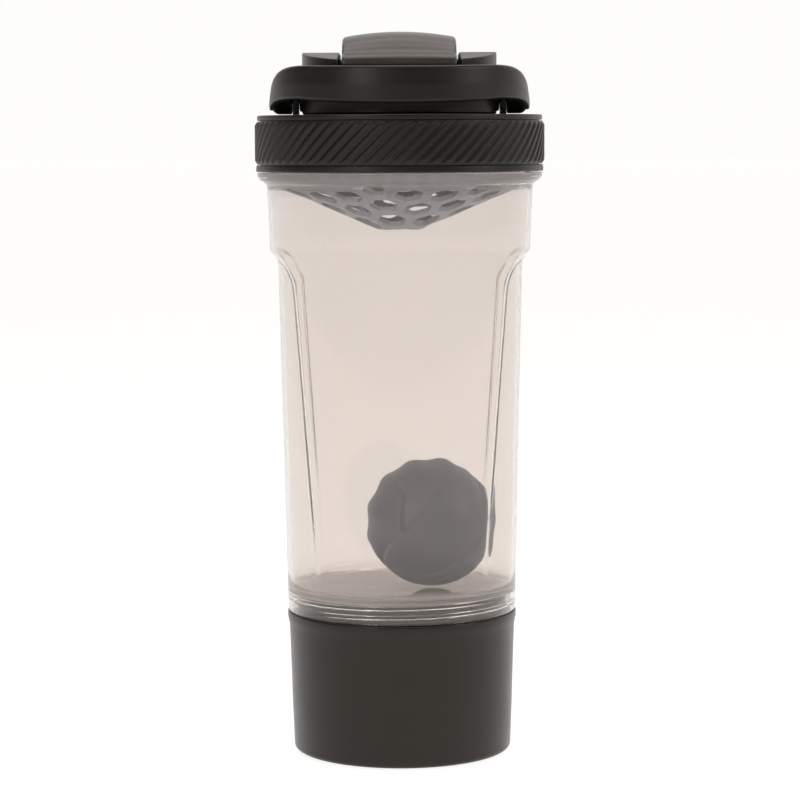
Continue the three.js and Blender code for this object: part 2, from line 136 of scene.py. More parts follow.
def loft(name, rings, closed=False, caps=False, sharp=32.0):
    """Quads between rings of points, which wrap round. closed joins the last ring to the first,
    and caps fills both end rings."""
    rings = np.asarray(rings, float)
    count, sides = rings.shape[:2]
    faces = []
    for i in range(count if closed else count - 1):
        a, b = i * sides, ((i + 1) % count) * sides
        for j in range(sides):
            k = (j + 1) % sides
            faces.append((a + j, a + k, b + k, b + j))
    if caps:
        faces.append(tuple(reversed(range(sides))))
        faces.append(tuple((count - 1) * sides + j for j in range(sides)))
    return mesh_object(name, rings.reshape(-1, 3), faces, sharp)


def turned(name, profile, sides=192, shape=None, sharp=32.0):
    """A profile of (radius, height) turned about Z. It closes on itself, or starts and ends on
    the axis. shape(radius, azimuth, height) may change the radii. Azimuth 0 is the front."""
    profile = np.asarray(profile, float)
    on_axis = profile[0][0] < 1e-6 and profile[-1][0] < 1e-6
    body = profile[1:-1] if on_axis else profile
    azimuth = np.arange(sides) / sides * TAU
    radius = np.repeat(body[:, :1], sides, 1)
    height = np.repeat(body[:, 1:], sides, 1)
    angle = np.repeat(azimuth[None], len(body), 0)
    if shape is not None:
        radius, angle = shape(radius, angle, height)
    rings = np.stack([radius * np.sin(angle), -radius * np.cos(angle), height], -1)
    if not on_axis:
        return loft(name, rings, closed=True, sharp=sharp)
    points = list(rings.reshape(-1, 3)) + [(0, 0, profile[0][1]), (0, 0, profile[-1][1])]
    count, first, last = len(body), len(body) * sides, len(body) * sides + 1
    faces = []
    for j in range(sides):
        k = (j + 1) % sides
        faces.append((first, k, j))
        for i in range(count - 1):
            faces.append((i * sides + j, i * sides + k, (i + 1) * sides + k, (i + 1) * sides + j))
        faces.append((last, (count - 1) * sides + j, (count - 1) * sides + k))
    return mesh_object(name, points, faces, sharp)


def inset(outline, distance):
    """A closed counter-clockwise outline moved inward."""
    edge = np.roll(outline, -1, 0) - np.roll(outline, 1, 0)
    normal = np.stack([edge[:, 1], -edge[:, 0]], -1)
    normal /= np.linalg.norm(normal, axis=1, keepdims=True) + 1e-9
    return outline - normal * distance


def pillow(name, outline, low, high, fillet, place, steps=4, sharp=32.0):
    """An outline swept from low to high with rounded rims. place(outline, level) gives points."""
    rings = []
    for side, level in ((-1, low), (1, high)):
        quarter = [math.pi / 2 * k / steps for k in range(steps + 1)]
        turns = quarter if side > 0 else quarter[::-1]
        for t in turns:
            ring = inset(outline, fillet * (1 - math.cos(t)))
            rings.append(place(ring, level - side * fillet * (1 - math.sin(t))))
    return loft(name, rings, caps=True, sharp=sharp)


def modify(obj, kind, **values):
    modifier = obj.modifiers.new(kind.title(), kind)
    for key, value in values.items():
        setattr(modifier, key, value)
    return modifier


def bake_modifiers(obj, sharp=32.0):
    """Applies the modifiers to the mesh itself."""
    bpy.context.view_layer.update()
    graph = bpy.context.evaluated_depsgraph_get()
    mesh = bpy.data.meshes.new_from_object(obj.evaluated_get(graph))
    obj.modifiers.clear()
    obj.data = mesh
    mesh.shade_smooth()
    mesh.set_sharp_from_angle(angle=math.radians(sharp))
    return obj


def boolean(obj, operation, tools, sharp=32.0):
    """Joins or cuts with other objects, which are then removed."""
    for tool in tools:
        modify(obj, "BOOLEAN", operation=operation, object=tool, solver="EXACT")
    bake_modifiers(obj, sharp)
    for tool in tools:
        bpy.data.objects.remove(tool)
    return obj


def moved(obj, x=0.0, y=0.0, z=0.0, turn=None):
    """Moves the mesh's points, in millimetres, after an optional 3x3 turn."""
    count = len(obj.data.vertices)
    points = np.empty(count * 3)
    obj.data.vertices.foreach_get("co", points)
    points = points.reshape(-1, 3)
    if turn is not None:
        points = points @ np.asarray(turn).T
    points = points + np.array([x, y, z]) * MM
    obj.data.vertices.foreach_set("co", points.ravel())
    obj.data.update()
    return obj


X_AXIS = [[0, 0, 1], [0, 1, 0], [-1, 0, 0]]  # takes the Z axis to +X
X_AXIS_BACK = [[0, 0, -1], [0, 1, 0], [1, 0, 0]]  # takes the Z axis to -X


def piece(obj, material, body, node):
    obj.data.materials.clear()
    obj.data.materials.append(material)
    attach(obj, body)
    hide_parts(node)
    return obj


# Screw ridges ----------------------------------------------------------------------------------
def screw(azimuth, height, pitch, start_z, start_deg, turns, base, crest, rise):
    """How far a right-handed ridge stands out of the wall at each place."""
    # the frame's screws start at an angle from +X, and azimuth is counted from the front
    along = (azimuth - math.pi / 2 - math.radians(start_deg)) % TAU
    best = np.zeros_like(height)
    for lap in range(-1, int(turns) + 2):
        at = (along + lap * TAU) / (turns * TAU)
        centre = start_z + at * turns * pitch
        off = np.abs(height - centre)
        ridge = smoothstep((base / 2 - off) / ((base - crest) / 2))
        ends = smoothstep(np.minimum(at, 1 - at) / 0.1)
        best = np.maximum(best, ridge * ends * rise)
    return best


# Materials -------------------------------------------------------------------------------------
def new_material(name):
    material = bpy.data.materials.new(name)
    material.use_nodes = True
    nodes = material.node_tree.nodes
    return material, nodes, material.node_tree.links, nodes["Principled BSDF"]


def noise(nodes, links, source, scale, detail=3.0):
    node = nodes.new("ShaderNodeTexNoise")
    node.inputs["Scale"].default_value = scale
    node.inputs["Detail"].default_value = detail
    links.new(source, node.inputs["Vector"])
    return node.outputs["Fac"]


def ranged(nodes, links, value, low, high, from_low=0.3, from_high=0.7):
    node = nodes.new("ShaderNodeMapRange")
    node.inputs["From Min"].default_value = from_low
    node.inputs["From Max"].default_value = from_high
    node.inputs["To Min"].default_value = low
    node.inputs["To Max"].default_value = high
    links.new(value, node.inputs["Value"])
    return node.outputs["Result"]


def blended(nodes, links, factor, first, second):
    node = nodes.new("ShaderNodeMix")
    node.data_type = "RGBA"
    node.inputs[6].default_value = (*first, 1)
    node.inputs[7].default_value = (*second, 1)
    links.new(factor, node.inputs["Factor"])
    return node.outputs[2]


TEXTURE_SCALE, CLOUD_SCALE = 2700.0, 55.0
WORN_FROM, WORN_FULL = 0.515, 0.56  # pointiness where an edge starts to look rubbed, and is fully so


def moulded(name, dark, light, roughness, bump=0.12, wear=0.25, specular=0.5):
    """Moulded plastic: fine texture, cloudy gloss, and edges rubbed slightly paler."""
    material, nodes, links, shader = new_material(name)
    place = nodes.new("ShaderNodeTexCoord").outputs["Object"]
    cloud = noise(nodes, links, place, CLOUD_SCALE, 4.0)
    texture = noise(nodes, links, place, TEXTURE_SCALE, 2.0)
    edge = nodes.new("ShaderNodeNewGeometry").outputs["Pointiness"]
    rubbed = ranged(nodes, links, edge, 0.0, wear, WORN_FROM, WORN_FULL)
    tone = blended(nodes, links, ranged(nodes, links, cloud, 0.0, 1.0), dark, light)
    worn = nodes.new("ShaderNodeMix")
    worn.data_type = "RGBA"
    links.new(rubbed, worn.inputs["Factor"])
    links.new(tone, worn.inputs[6])
    worn.inputs[7].default_value = (*[min(1.0, c * 2.6 + 0.01) for c in light], 1)
    links.new(worn.outputs[2], shader.inputs["Base Color"])
    links.new(
        ranged(nodes, links, cloud, roughness - 0.035, roughness + 0.045), shader.inputs["Roughness"]
    )
    shader.inputs["Specular IOR Level"].default_value = specular
    shader.inputs["Specular Tint"].default_value = (1.0, 0.89, 0.81, 1)
    height = nodes.new("ShaderNodeBump")
    height.inputs["Strength"].default_value = bump
    height.inputs["Distance"].default_value = 0.00008
    links.new(texture, height.inputs["Height"])
    links.new(height.outputs["Normal"], shader.inputs["Normal"])
    return material


BEAD_HAZE, FLOOR_HAZE = 0.2, 0.22


def clear_plastic(name, tint, haze_colour, haze, roughness):
    """Clear plastic with a little milky haze. Lamps light what is inside it."""
    material, nodes, links, shader = new_material(name)
    shader.inputs["Base Color"].default_value = (*tint, 1)
    shader.inputs["Transmission Weight"].default_value = 1.0
    shader.inputs["IOR"].default_value = 1.45
    place = nodes.new("ShaderNodeTexCoord").outputs["Object"]
    cloud = noise(nodes, links, place, 40.0, 3.0)
    links.new(ranged(nodes, links, cloud, roughness * 0.7, roughness * 1.4), shader.inputs["Roughness"])
    ripple = nodes.new("ShaderNodeBump")
    ripple.inputs["Strength"].default_value = 0.012
    ripple.inputs["Distance"].default_value = 0.0004
    links.new(noise(nodes, links, place, 90.0, 2.0), ripple.inputs["Height"])
    links.new(ripple.outputs["Normal"], shader.inputs["Normal"])
    milk = nodes.new("ShaderNodeBsdfTranslucent")
    milk.inputs["Color"].default_value = (*haze_colour, 1)
    front = nodes.new("ShaderNodeBsdfDiffuse")
    front.inputs["Color"].default_value = (*haze_colour, 1)
    both = nodes.new("ShaderNodeMixShader")
    both.inputs[0].default_value = 0.5
    links.new(milk.outputs[0], both.inputs[1])
    links.new(front.outputs[0], both.inputs[2])
    hazy = nodes.new("ShaderNodeMixShader")
    # the floor's rim, the bead and the neck are thicker and scatter more light
    split = nodes.new("ShaderNodeSeparateXYZ")
    links.new(place, split.inputs[0])
    level = split.outputs["Z"]
    under, over = FLOOR_UNDER * MM, FLOOR_TOP * MM
    above_skirt = ranged(nodes, links, level, 0.0, 1.0, under - 0.0004, under + 0.0004)
    above_floor = ranged(nodes, links, level, 1.0, 0.0, over + 0.0005, over + 0.003)
    shoulder = SHOULDER_Z * MM
    bead = ranged(nodes, links, level, haze, haze + BEAD_HAZE, shoulder - 0.0003, shoulder + 0.0027)
    floor = nodes.new("ShaderNodeMath")
    floor.operation = "MULTIPLY"
    links.new(above_skirt, floor.inputs[0])
    links.new(above_floor, floor.inputs[1])
    amount = nodes.new("ShaderNodeMath")
    amount.operation = "MULTIPLY_ADD"
    links.new(floor.outputs[0], amount.inputs[0])
    amount.inputs[1].default_value = FLOOR_HAZE
    links.new(bead, amount.inputs[2])
    links.new(amount.outputs[0], hazy.inputs[0])
    links.new(shader.outputs[0], hazy.inputs[1])
    links.new(both.outputs[0], hazy.inputs[2])
    through = nodes.new("ShaderNodeBsdfTransparent")
    through.inputs["Color"].default_value = (*[0.94 * c ** 0.5 for c in tint], 1)
    shadow = nodes.new("ShaderNodeLightPath").outputs["Is Shadow Ray"]
    final = nodes.new("ShaderNodeMixShader")
    links.new(shadow, final.inputs[0])
    links.new(hazy.outputs[0], final.inputs[1])
    links.new(through.outputs[0], final.inputs[2])
    links.new(final.outputs[0], nodes["Material Output"].inputs["Surface"])
    return material


CUP_BLACK = moulded(
    "cup_satin_black", (0.008, 0.0068, 0.0056), (0.0105, 0.009, 0.0075), 0.3, wear=0.15, specular=0.42
)
LID_BLACK = moulded(
    "lid_satin_black", (0.005, 0.0048, 0.0038), (0.0075, 0.007, 0.006), 0.38, bump=0.2, specular=0.38
)
RIB_BLACK = moulded(
    "grip_soft_black", (0.004, 0.0038, 0.003), (0.0065, 0.006, 0.005), 0.42, bump=0.3, specular=0.36
)
FLAP_GREY = moulded("flap_satin_grey", (0.062, 0.052, 0.047), (0.072, 0.060, 0.054), 0.36)
STRAINER_GREY = moulded("strainer_grey", (0.20, 0.215, 0.265), (0.23, 0.245, 0.30), 0.45)
BALL_GREY = moulded("ball_slate", (0.056, 0.060, 0.084), (0.064, 0.068, 0.094), 0.42, wear=0.4)
SILICONE = moulded("seal_silicone", (0.3, 0.29, 0.29), (0.36, 0.35, 0.35), 0.6)
CLEAR = clear_plastic("bottle_clear", (0.868, 0.82, 0.788), (0.8, 0.735, 0.70), 0.055, 0.03)


# Powder cup ------------------------------------------------------------------------------------
def storage_cup():
    profile = rounded(
        [
            (0, 0.8), (25.8, 0.8, 0.5), (27.0, 0, 0.4), (36.4, 0, 1.8), (37.0, 15.5), (37.6, 36),
            (37.85, 42.6, 4.0), (38.4, 45.2, 3.0), (38.4, CUP_TOP, 0.5), (CUP_NECK_R, CUP_TOP, 0.25),
            (CUP_NECK_R, CUP_NECK_TOP, 0.4), (33.1, CUP_NECK_TOP, 0.2), (33.1, 52.4), (31.0, 52.4, 0.3),
            (31.0, 46.3, 1.2), (35.7, 41.0, 4.0), (34.3, 2.8, 3.0), (0, 2.8),
        ],
        step=12,
    )
    profile = subdivided(profile, CUP_TOP + 0.2, CUP_NECK_TOP - 0.35, 0.14)

    def threaded(radius, azimuth, height):
        ridge = screw(azimuth, height, CUP_PITCH, CUP_SCREW_Z, CUP_SCREW_ANGLE, **CUP_RIDGE)
        outer = np.abs(radius - CUP_NECK_R) < SAME_RADIUS
        return radius + ridge * outer, azimuth

    cup = turned("cup_shell", profile, 240, threaded)
    piece(cup, CUP_BLACK, "cup", "storage_cup")


def soft_ring(name, inner, outer, low, high, body, node):
    fillet = (high - low) * 0.4
    corners = [(inner, low, fillet), (outer, low, fillet), (outer, high, fillet), (inner, high, fillet)]
    ring = turned(name, rounded(corners, 18, closed=True), 128)
    piece(ring, SILICONE, body, node)


# Clear bottle ----------------------------------------------------------------------------------
def wall_radius(z):
    return WALL_LOW_R + (WALL_HIGH_R - WALL_LOW_R) * (z - SKIRT_LOW) / (WALL_HIGH_Z - SKIRT_LOW)


def grip_depth(azimuth, z):
    """How far the two side grips press the wall in."""
    degrees = np.degrees((azimuth + math.pi) % TAU - math.pi)
    from_middle = np.abs(np.abs(degrees) - 90)
    width = 36.2 + 0.105 * (154 - z)
    arch = 169.0 - 11.0 * np.clip(from_middle / width, 0, 1) ** 4
    across = smoothstep((width - from_middle) / 5.0)
    down = smoothstep((arch - z) / 5.0)
    pressed = WALL_LOW_R + 0.0213 * (z - SKIRT_LOW)
    depth = np.maximum(wall_radius(np.minimum(z, WALL_HIGH_Z)) - pressed, 0)
    return depth * across * down


def bottle_body():
    rows = np.concatenate([np.arange(57.5, 156, 3.0), np.arange(157, 171, 0.7)])
    outer = [(43.43 if z > WALL_HIGH_Z else wall_radius(z), z) for z in rows]
    inner = [(radius - WALL, z) for radius, z in outer if z > 59][::-1]
    profile = rounded(
        [
            (0, FLOOR_UNDER), (SKIRT_R, FLOOR_UNDER, 0.3), (SKIRT_R, SKIRT_LOW, 0.3),
            (WALL_LOW_R, SKIRT_LOW, 0.4), *outer, (SHOULDER_R, 188.2, 2.0), (44.3, 189.9, 1.2),
            (46.5, 191.3, 1.6), (BEAD_R, 192.7, 1.0), (BEAD_R, BEAD_TOP, 0.3), (NECK_R, BEAD_TOP, 0.4),
            (NECK_R, NECK_TOP, 0.5), (NECK_BORE, NECK_TOP, 0.4), (NECK_BORE, 194.6, 1.5),
            (SHOULDER_R - WALL, 190.6, 1.5), (SHOULDER_R - WALL, 186.0), *inner,
            (wall_radius(FLOOR_TOP) - WALL, FLOOR_TOP, 2.6), (0, FLOOR_TOP),
        ],
        step=15,
    )
    profile = subdivided(profile, SKIRT_LOW + 0.2, FLOOR_UNDER - 0.2, 0.11)
    profile = subdivided(profile, BEAD_TOP + 0.3, NECK_TOP - 0.4, 0.3)

    def shaped(radius, azimuth, height):
        wall = (radius > SKIRT_R + 0.3) & (height > FLOOR_TOP + 0.5)
        pressed = radius - grip_depth(azimuth, height) * wall
        skirt = np.abs(radius - SKIRT_R) < SAME_RADIUS
        neck = np.abs(radius - NECK_R) < SAME_RADIUS
        start = CUP_SCREW_Z + CUP_PITCH / 2
        inward = screw(azimuth, height, CUP_PITCH, start, CUP_SCREW_ANGLE, **SKIRT_RIDGE)
        outward = screw(azimuth, height, LID_PITCH, LID_SCREW_Z, 0, **NECK_RIDGE)
        return pressed - inward * skirt + outward * neck, azimuth

    bottle = turned("bottle_shell", profile, 288, shaped, sharp=78)
    piece(bottle, CLEAR, "bottle", "bottle_body")


# Strainer --------------------------------------------------------------------------------------
CELL_R, CELL_TURN, CELL_PITCH = 4.85, 14.4, 11.5
COMB_LEAN, COMB_CENTRE, COMB_LIMIT = 44.4, (0.4, 3.5), 39.5
CONE_SLOPE = 0.446
SLOTS, SLOT_Z = 36, 192.2


def hole_centres():
    """A honeycomb of hole centres in plan, as distances to the right and forward."""
    leans = np.radians([COMB_LEAN, COMB_LEAN + 60])
    first, second = [CELL_PITCH * np.array([math.cos(a), math.sin(a)]) for a in leans]
    centres = [COMB_CENTRE + i * first + j * second for i in range(-5, 6) for j in range(-5, 6)]
    return [c for c in centres if np.linalg.norm(c) < COMB_LIMIT]


def strainer():
    low = NECK_TOP + 0.3
    basket = turned(
        "strainer_basket",
        rounded(
            [
                (0, STRAINER_TIP), (STRAINER_TIP_R, STRAINER_TIP, 2.5), (38.0, 188.6, 2.0),
                (40.4, 191.0, 2.0), (40.8, low, 0.2),
                (43.0, low, 0.3), (43.0, low + 1.3, 0.5), (39.5, low + 1.3, 0.6), (39.3, 191.0, 2.0),
                (37.4, 189.9, 1.5), (7.0, 176.3, 2.5), (0, 176.3),
            ],
            step=12,
        ),
        160,
    )
    holes = []
    turn = np.radians(CELL_TURN + 60 * np.arange(6))
    corners = [(CELL_R * math.cos(a), CELL_R * math.sin(a), 1.6) for a in turn]
    cell = rounded(corners, 20, closed=True)
    for x, forward in hole_centres():
        radius = math.hypot(x, forward)
        height = STRAINER_TIP + (radius - STRAINER_TIP_R) * CONE_SLOPE
        plan = cell * (0.8 if radius > 36 else 1.0) + (x, forward)
        rings = [[(u, -v, z) for u, v in plan[::-1]] for z in (height - 6, height + 2.6)]
        holes.append(loft("hole", rings, caps=True))
    low_z, high_z = SLOT_Z - 0.3, SLOT_Z + 0.35
    corners = [(-1.3, low_z, 0.25), (1.3, low_z, 0.25), (1.3, high_z, 0.25), (-1.3, high_z, 0.25)]
    slot = rounded(corners, 30, closed=True)
    for i in range(SLOTS):
        angle = (i + 0.5) * TAU / SLOTS
        tangent = np.array([math.cos(angle), math.sin(angle), 0])
        outward = np.array([math.sin(angle), -math.cos(angle), 0])
        rings = [[tangent * x + outward * r + (0, 0, z) for x, z in slot] for r in (37.5, 42.5)]
        holes.append(loft("hole", rings, caps=True))
    cutter = joined(holes)
    boolean(basket, "DIFFERENCE", [cutter])
    piece(basket, STRAINER_GREY, "bottle", "strainer")


def joined(objects):
    """One object of several objects' meshes."""
    points, faces = [], []
    for obj in objects:
        base = len(points)
        points += [tuple(v.co / MM) for v in obj.data.vertices]
        faces += [tuple(base + i for i in p.vertices) for p in obj.data.polygons]
        bpy.data.objects.remove(obj)
    return mesh_object("joined", points, faces)


# Lid -------------------------------------------------------------------------------------------
def ear(side):
    """An upright ear that carries the handle's pivot."""
    foot = DECK - 0.6
    arc = [(EAR_R * math.cos(a), PIVOT_Z + EAR_R * math.sin(a)) for a in np.linspace(0, math.pi, 25)]
    outline = np.array([(-EAR_R, foot), (EAR_R, foot), *arc])
    low, high = sorted((EAR_INNER * side, EAR_OUTER * side))

    def place(ring, level):
        return np.stack([np.full(len(ring), level), ring[:, 0], ring[:, 1]], -1)

    return pillow("ear", outline, low, high, 0.35, place)


def lid_collar():
    ceiling = DECK - 1.8
    profile = rounded(
        [
            (COLLAR_BORE, COLLAR_LOW, 0.4), (47.75, COLLAR_LOW, 0.45), (47.6, 196.2, 0.3),
            (46.3, 196.2), (46.3, 210.9), (47.25, 210.9, 0.25), (47.25, DECK, 0.45),
            (27.5, DECK, 0.4), (27.5, ceiling, 0.3), (COLLAR_BORE, ceiling, 0.3),
        ],
        15, closed=True,
    )
    profile = np.vstack([profile, profile[:1]])
    profile = subdivided(profile, COLLAR_LOW + 0.3, ceiling - 0.2, 0.3)[:-1]

    def threaded(radius, azimuth, height):
        bore = np.abs(radius - COLLAR_BORE) < SAME_RADIUS
        start = LID_SCREW_Z + LID_PITCH / 2
        ridge = screw(azimuth, height, LID_PITCH, start, 0, **COLLAR_RIDGE)
        return radius - ridge * bore, azimuth

    collar = turned("lid_ring", profile, 256, threaded)
    boolean(collar, "UNION", [ear(-1), ear(1)])
    piece(collar, LID_BLACK, "lid", "lid_collar")


def grip_band():
    sides = BAND_RIBS * 10
    rise = np.linspace(BAND_LOW + 0.35, BAND_HIGH - 0.35, 26)
    outer = [(47.35, BAND_LOW), *[(47.45, z) for z in rise], (47.35, BAND_HIGH)]
    profile = np.array([(46.6, BAND_LOW), *outer, (46.6, BAND_HIGH)])
    lean = math.radians(1.24)

    def ribbed(radius, azimuth, height):
        turn = azimuth + lean * (height - BAND_LOW)
        phase = (azimuth * BAND_RIBS / TAU) % 1.0
        # a flat-topped rib with a narrow groove beside it
        rib = smoothstep((0.5 - np.abs(phase - 0.5)) / 0.26 - 0.35)
        ends = smoothstep((height - BAND_LOW - 0.4) / 0.8) * smoothstep((BAND_HIGH - 0.4 - height) / 0.8)
        skin = radius > 46.9
        return radius + skin * (0.62 * rib * ends), turn

    band = turned("grip_sleeve", profile, sides, ribbed, sharp=50)
    piece(band, RIB_BLACK, "lid", "grip_band")


def turret_top(y):
    return TURRET_TOP - (TURRET_TOP - TURRET_FRONT) / TURRET_R * max(0.0, -y)


def spout_turret():
    """A drum with a channel across it. Its rims are rounded by a bevel."""
    low, steps, inner, ceiling = DECK + 0.3, 160, 29.8, CHANNEL_Z - 2.4
    edge = math.asin(CHANNEL_HALF / TURRET_R)
    arcs = [(-edge, edge, 40), (edge, math.pi - edge, 60), (math.pi - edge, math.pi + edge, 40),
            (math.pi + edge, TAU - edge, 60)]
    points, faces, arc_rows = [], [], []

    def add(x, y, z):
        points.append((x, y, z))
        return len(points) - 1

    bottom, middle = [], []
    for a0, a1, count in arcs:
        first = len(bottom)
        for k in range(count):
            a = a0 + (a1 - a0) * k / count
            x, y = TURRET_R * math.sin(a), -TURRET_R * math.cos(a)
            bottom.append(add(x, y, low))
            middle.append(add(x, y, CHANNEL_Z))
        arc_rows.append(range(first, len(bottom)))
    total = len(bottom)
    for i in range(total):
        j = (i + 1) % total
        faces.append((bottom[i], bottom[j], middle[j], middle[i]))
    floor = []
    for side in (1, 3):
        run = [*arc_rows[side], (arc_rows[side][-1] + 1) % total]
        top = [add(*points[middle[i]][:2], turret_top(points[middle[i]][1])) for i in run]
        for k in range(len(run) - 1):
            faces.append((middle[run[k]], middle[run[k + 1]], top[k + 1], top[k]))
        half = len(run) // 2
        sign = 1 if side == 1 else -1
        knee_low = add(sign * CHANNEL_HALF, 0, CHANNEL_Z)
        knee_top = add(sign * CHANNEL_HALF, 0, TURRET_TOP)
        faces.append((middle[run[-1]], knee_low, knee_top, top[-1]))
        faces.append((knee_low, middle[run[0]], top[0], knee_top))
        faces.append((knee_top, *top[: half + 1]))
        faces.append((knee_top, *top[half:]))
        floor.append((run, knee_low))
    front, rear = arc_rows[0], arc_rows[2]
    faces.append((
        *[middle[i] for i in front], middle[arc_rows[1][0]], floor[0][1],
        *[middle[i] for i in rear], middle[arc_rows[3][0]], floor[1][1],
    ))
    hollow_low, hollow_top = [], []
    for i in range(total):
        x, y = points[bottom[i]][0] * inner / TURRET_R, points[bottom[i]][1] * inner / TURRET_R
        hollow_low.append(add(x, y, low))
        hollow_top.append(add(x, y, ceiling))
    for i in range(total):
        j = (i + 1) % total
        faces.append((bottom[j], bottom[i], hollow_low[i], hollow_low[j]))
        faces.append((hollow_low[j], hollow_low[i], hollow_top[i], hollow_top[j]))
    faces.append(tuple(reversed(hollow_top)))
    turret = mesh_object("turret_shell", points, faces)
    bore = turned("bore", [(0, 220), (7.5, 220), (7.5, 228), (0, 228)], 48)
    bosses, holes = [], [moved(bore, y=SPOUT_Y)]
    for turn in (X_AXIS_BACK, X_AXIS):
        boss = turned("boss", rounded([(0, 31), (EAR_R, 31), (EAR_R, 33, 0.3), (0, 33)], 15), 64)
        bosses.append(moved(boss, z=PIVOT_Z, turn=turn))
        socket = turned("socket", [(0, 32.3), (PIVOT_BORE, 32.3), (PIVOT_BORE, 35), (0, 35)], 48)
        holes.append(moved(socket, z=PIVOT_Z, turn=turn))
    boolean(turret, "UNION", bosses)
    boolean(turret, "DIFFERENCE", holes)
    modify(turret, "BEVEL", width=0.0005, segments=3, limit_method="ANGLE",
           angle_limit=math.radians(30), use_clamp_overlap=False, harden_normals=False)
    modify(turret, "WEIGHTED_NORMAL", keep_sharp=True)
    piece(turret, LID_BLACK, "lid", "spout_turret")


def spout_tube():
    ceiling = CHANNEL_Z - 2.7
    tube = turned(
        "drinking_spout",
        rounded(
            [
                (5.6, 216, 0.3), (7.2, 216, 0.3), (7.2, ceiling - 1.6), (10.0, ceiling - 1.6, 0.3),
                (10.0, ceiling, 0.3), (7.2, ceiling, 0.3), (7.2, SPOUT_TOP, 0.8), (5.6, SPOUT_TOP, 0.7),
            ],
            15, closed=True,
        ),
        96,
    )
    piece(moved(tube, y=SPOUT_Y), LID_BLACK, "lid", "spout_tube")


def pins():
    rod = turned("hinge_rod", rounded([(0, -23.5), (1.5, -23.5, 0.3), (1.5, 23.5, 0.3), (0, 23.5)], 15), 48)
    moved(rod, y=HINGE_Y, z=HINGE_Z, turn=X_AXIS)
    piece(rod, LID_BLACK, "lid", "cap_hinge_pin")
    profile = rounded(
        [
            (0, 32.7), (2.4, 32.7, 0.3), (2.4, 41.5, 0.2), (3.8, 41.5, 0.2), (3.8, 42.2, 0.3),
            (1.5, 42.2, 0.2), (1.1, 41.9, 0.1), (0, 41.9),
        ],
        15,
    )
    for side, turn in (("left", X_AXIS_BACK), ("right", X_AXIS)):
        pin = moved(turned(f"pivot_{side}", profile, 64), z=PIVOT_Z, turn=turn)
        piece(pin, LID_BLACK, "lid", f"handle_pin_{side}")


# Flap ------------------------------------------------------------------------------------------
def spline(points, count):
    """A smooth curve through points, by Catmull-Rom."""
    points = np.array(points, float)
    padded = np.vstack([2 * points[0] - points[1], points, 2 * points[-1] - points[-2]])
    out = []
    for t in np.linspace(0, len(points) - 1, count):
        i = min(int(t), len(points) - 2)
        u = t - i
        a, b, c, d = padded[i : i + 4]
        out.append(
            0.5 * (2 * b + (c - a) * u + (2 * a - 5 * b + 4 * c - d) * u**2 + (3 * b - a - 3 * c + d) * u**3)
        )
    return np.array(out)


LIP_Y, FLAP_UNDER = -31.35, 228.15


def spout_cap():
    half, crown_r, fillet, steps = 18.5, 96.0, 1.0, 5
    skin = spline(
        [
            (19.4, 232.6), (10, 236.9), (2, 239.2), (-6, 239.8), (-16, 239.2), (-22.0, 237.4),
            (-25.0, 234.9), (-26.6, 233.1), (-28.4, 232.2), (-30.2, 231.6), (-31.1, 230.6),
            (LIP_Y, 229.4),
        ],
        110,
    )
    knuckle = [
        (HINGE_Y + 3 * math.cos(a), HINGE_Z + 3 * math.sin(a)) for a in np.linspace(-math.pi / 2, 0.5, 14)
    ]
    lip = rounded([skin[-1], (LIP_Y, FLAP_UNDER - 0.05, 0.7), (-27, FLAP_UNDER)], 12)[1:]
    under = np.linspace((-27, FLAP_UNDER), (HINGE_Y - 4, FLAP_UNDER), 20)[1:]
    outline = np.vstack([knuckle, skin, lip, under])

    def crowned(ring, x):
        drop = crown_r - math.sqrt(crown_r**2 - x * x)
        weight = smoothstep((ring[:, 1] - 229.0) / 9.0)
        return np.stack([np.full(len(ring), x), ring[:, 0], ring[:, 1] - drop * weight], -1)

    rings = []
    for k in range(steps + 1):
        t = math.pi / 2 * k / steps
        ring = inset(outline, fillet * (1 - math.sin(t)))
        rings.append(crowned(ring, -half + fillet * (1 - math.cos(t))))
    rings += [crowned(outline, x) for x in np.linspace(-half + fillet, half - fillet, 37)[1:-1]]
    rings += [ring * np.array([-1, 1, 1]) for ring in rings[: steps + 1][::-1]]
    flap = loft("flap_shell", rings, caps=True, sharp=30)
    hollow = np.array([
        (10.5, 226), (10.5, 233.4), (2, 236.4), (-6, 237.0), (-16, 236.6), (-21, 235.4), (-23.4, 233.0),
        (-24, 231), (-24, 226),
    ])
    hollow = rounded([(*p, 1.2) for p in hollow], 15, closed=True)

    def place(ring, level):
        return np.stack([np.full(len(ring), level), ring[:, 0], ring[:, 1]], -1)

    cavity = pillow("cavity", hollow, -16.5, 16.5, 1.0, place)
    bore = turned("bore", [(0, -30), (1.8, -30), (1.8, 30), (0, 30)], 32)
    moved(bore, y=HINGE_Y, z=HINGE_Z, turn=X_AXIS)
    boolean(flap, "DIFFERENCE", [cavity, bore], sharp=30)
    piece(flap, FLAP_GREY, "flap", "spout_cap")


def cap_plug():
    rim = SPOUT_TOP + 0.3
    plug = turned(
        "spout_plug",
        rounded(
            [
                (0, rim - 4), (4.0, rim - 4, 0.8), (5.0, rim - 0.2, 0.3), (7.4, rim, 0.3),
                (7.4, rim + 1.4, 0.5), (0, rim + 1.4),
            ],
            15,
        ),
        96,
    )
    piece(moved(plug, y=SPOUT_Y), SILICONE, "flap", "cap_plug")


# Carry handle ----------------------------------------------------------------------------------
ARCH_X, ARCH_ACROSS, ARCH_UP, ARCH_POWER = 30.0, 13.06, 12.3, 3.1


def shoulder_height(x):
    """The height of the handle's outline seen from the front, at a distance from the middle."""
    across = min(max(abs(x) - ARCH_X, 0.0) / ARCH_ACROSS, 1.0)
    return BAIL_LOW + ARCH_UP * (1 - across**ARCH_POWER) ** (1 / ARCH_POWER)


